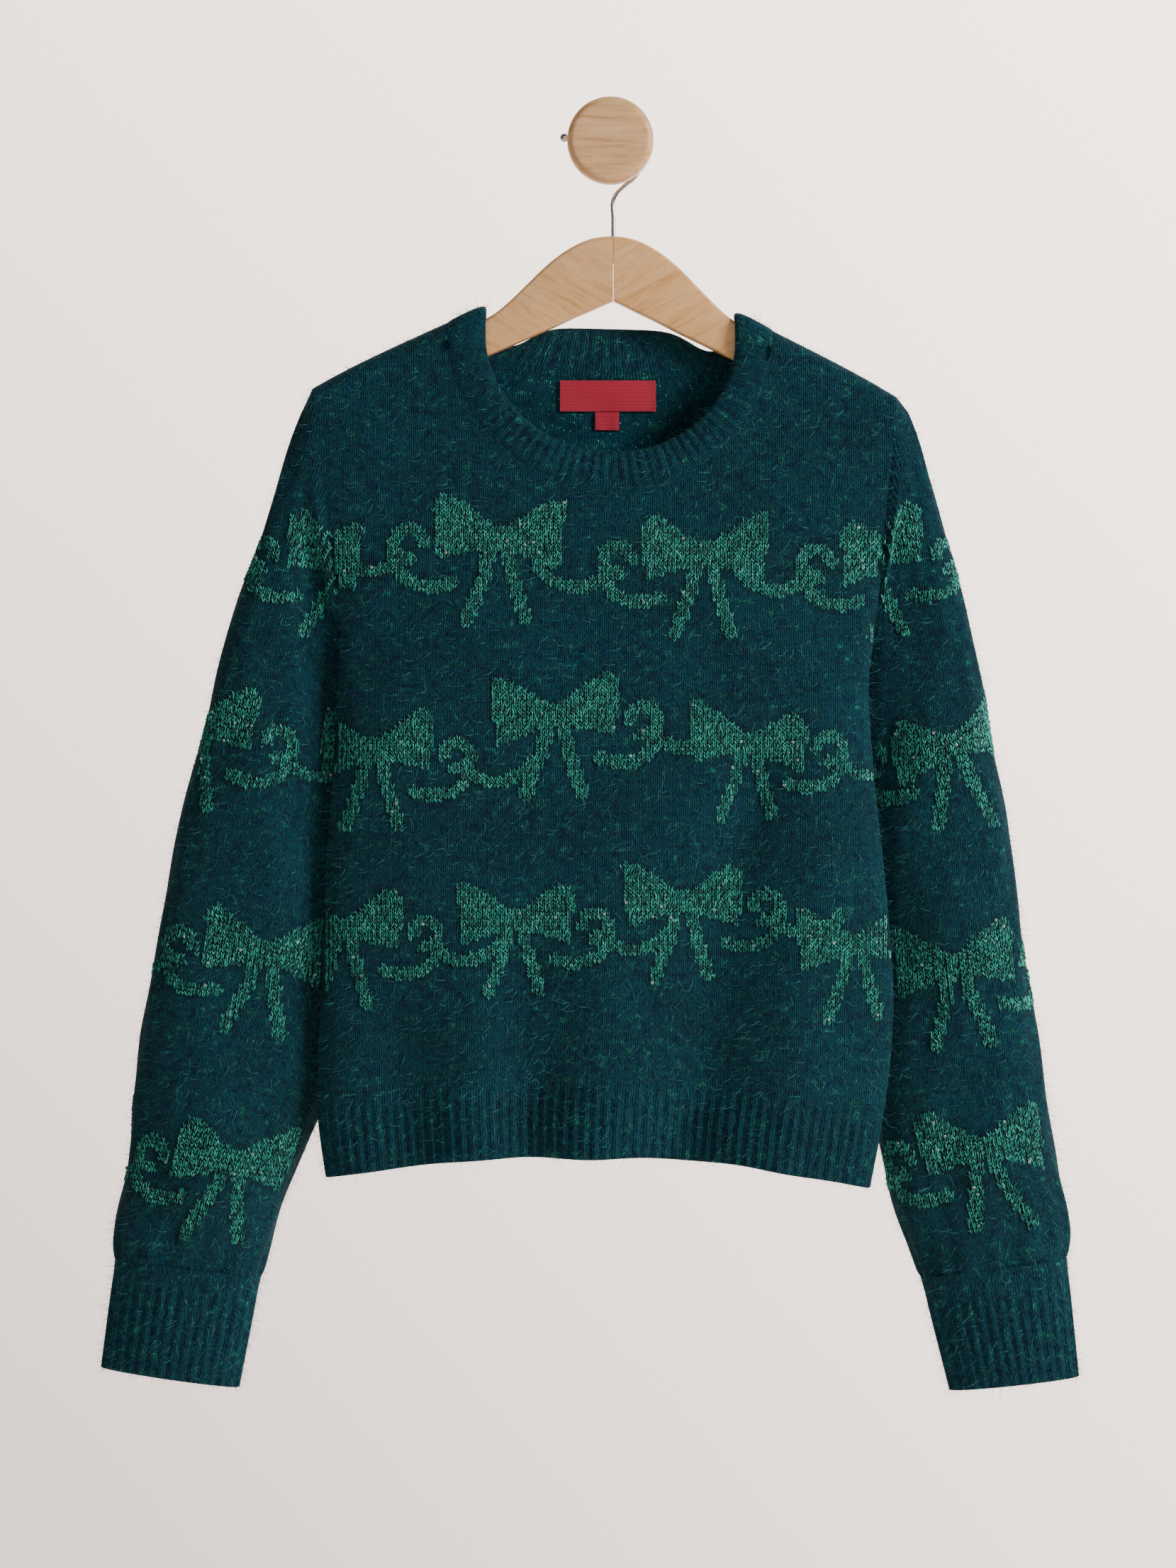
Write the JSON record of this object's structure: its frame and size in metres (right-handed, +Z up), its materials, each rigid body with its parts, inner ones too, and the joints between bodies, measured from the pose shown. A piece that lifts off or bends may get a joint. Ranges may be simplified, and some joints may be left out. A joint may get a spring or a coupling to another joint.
{
  "type": "knitted christmas sweater on a wooden hanger and wall peg",
  "caption": "Long-sleeved ribbed crew-neck knitted sweater with rows of knitted bows, hanging on a wooden hanger from a round wall peg.",
  "frame": {"origin": "centre of the peg stem's flat back face, where it meets the wall", "axes": "+Z up, +X to the right seen from the front, +Y into the wall, so that the front of the sweater looks along -Y"},
  "size_m": [0.6485, 0.0678, 0.8555],
  "materials": {
    "knit": "brushed knit with long soft fibres",
    "metallic_yarn": "flat knitted yarn with a metallic thread",
    "sequin": "small iridescent rings",
    "label_satin": "woven satin",
    "hanger_wood": "smooth lacquered beech",
    "peg_wood": "smooth oiled beech",
    "hook_steel": "bright nickel-plated wire"
  },
  "bodies": {
    "root": {"front_panel": "knit", "back_panel": "knit", "hem_rib_front": "knit", "hem_rib_back": "knit", "sleeve_left": "knit", "sleeve_right": "knit", "cuff_left": "knit", "cuff_right": "knit", "neckband": "knit", "label_main": "label_satin", "label_size": "label_satin", "hanger_arm_left": "hanger_wood", "hanger_arm_right": "hanger_wood", "hanger_hook": "hook_steel", "peg_stem": "peg_wood", "peg_knob": "peg_wood"}
  },
  "joints": []
}
